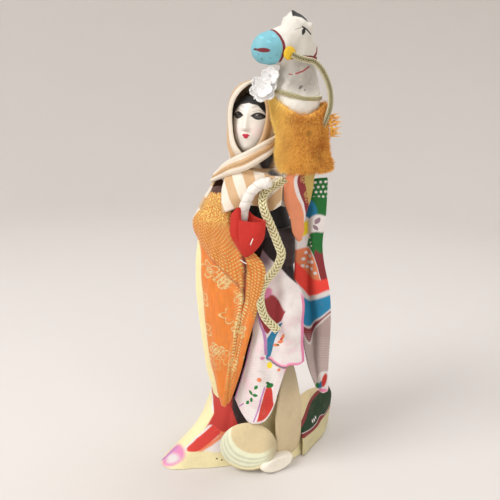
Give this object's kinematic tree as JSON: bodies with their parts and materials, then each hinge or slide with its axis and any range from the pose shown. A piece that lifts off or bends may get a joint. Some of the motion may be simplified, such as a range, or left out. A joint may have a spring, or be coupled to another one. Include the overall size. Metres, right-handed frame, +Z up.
{
  "type": "kimono dancer doll",
  "caption": "Standing kimono dancer doll in a striped hood, with long hanging sleeves and a toy horse head on a stick held at its left side; head, horse and sleeves move.",
  "frame": {"origin": "centre of the underside of the wooden base disc, under the core post", "axes": "+Z up, -Y the way the face looks, +X towards the left hand"},
  "size_m": [0.0531, 0.0643, 0.161],
  "materials": {
    "wood": "bare turned wood",
    "stuffing": "wound paper and cotton",
    "black_cloth": "plain black cloth",
    "sash_cloth": "dark sash cloth",
    "print_cloth": "printed crepe cloth",
    "hem_cloth": "cream padded cloth",
    "brocade": "orange brocade with gold thread",
    "red_lining": "plain red lining cloth",
    "pale_lining": "pale lining cloth",
    "salmon_cloth": "plain salmon cloth",
    "scarf_cloth": "striped scarf cloth",
    "binding": "white bound cotton",
    "wire": "drawn wire",
    "face": "white painted composition",
    "hair": "black silk floss",
    "flower": "white petals",
    "horse_paint": "painted composition",
    "bit_paint": "yellow painted disc",
    "gold_braid": "metallic gold braid",
    "plush": "orange pile cloth"
  },
  "bodies": {
    "doll": {"base_disc": "wood", "core_post": "wood", "lower_body": "stuffing", "torso_core": "stuffing", "kimono_body": "black_cloth", "obi_sash": "sash_cloth", "obi_knot": "sash_cloth", "skirt_hem": "print_cloth", "hem_puff": "hem_cloth", "hem_side_petal": "hem_cloth", "hem_corner": "hem_cloth", "back_train": "print_cloth", "kimono_front_panel": "print_cloth", "right_arm": "binding", "right_arm_wire": "wire", "left_arm": "binding", "left_arm_wire": "wire", "left_hand": "binding", "left_inner_sleeve": "salmon_cloth", "neck_wrap": "scarf_cloth", "scarf_bib": "scarf_cloth", "scarf_tail": "scarf_cloth", "shoulder_drape": "scarf_cloth", "hand_braid": "gold_braid"},
    "head": {"head": "face", "neck_peg": "wood", "hair": "hair", "hood": "scarf_cloth", "hair_flower": "flower"},
    "horse": {"horse_head": "horse_paint", "horse_stick": "wood", "neck_cord": "gold_braid", "plush_collar": "plush", "bit_disc_left": "bit_paint", "bit_disc_right": "bit_paint", "rein_left": "gold_braid", "rein_right": "gold_braid"},
    "right_sleeve": {"right_sleeve": "brocade", "right_sleeve_lining": "pale_lining", "right_cuff": "red_lining"},
    "left_sleeve": {"left_sleeve": "print_cloth"}
  },
  "joints": [
    {"name": "head_turn", "type": "hinge", "parent": "doll", "child": "head", "pos_m": [-0.0005, -0.004, 0.11], "axis": [0, 0, 1], "range_deg": [-15, 2]},
    {"name": "horse_turn", "type": "hinge", "parent": "doll", "child": "horse", "pos_m": [0.0164, -0.0094, 0.113], "axis": [0, 0, 1], "range_deg": [-8, 8]},
    {"name": "right_sleeve_swing", "type": "hinge", "parent": "doll", "child": "right_sleeve", "pos_m": [0.004, -0.019, 0.096], "axis": [0, 1, 0], "range_deg": [0, 4]},
    {"name": "left_sleeve_swing", "type": "hinge", "parent": "doll", "child": "left_sleeve", "pos_m": [0.018, -0.0012, 0.1045], "axis": [1, 0, 0], "range_deg": [0, 12]}
  ]
}
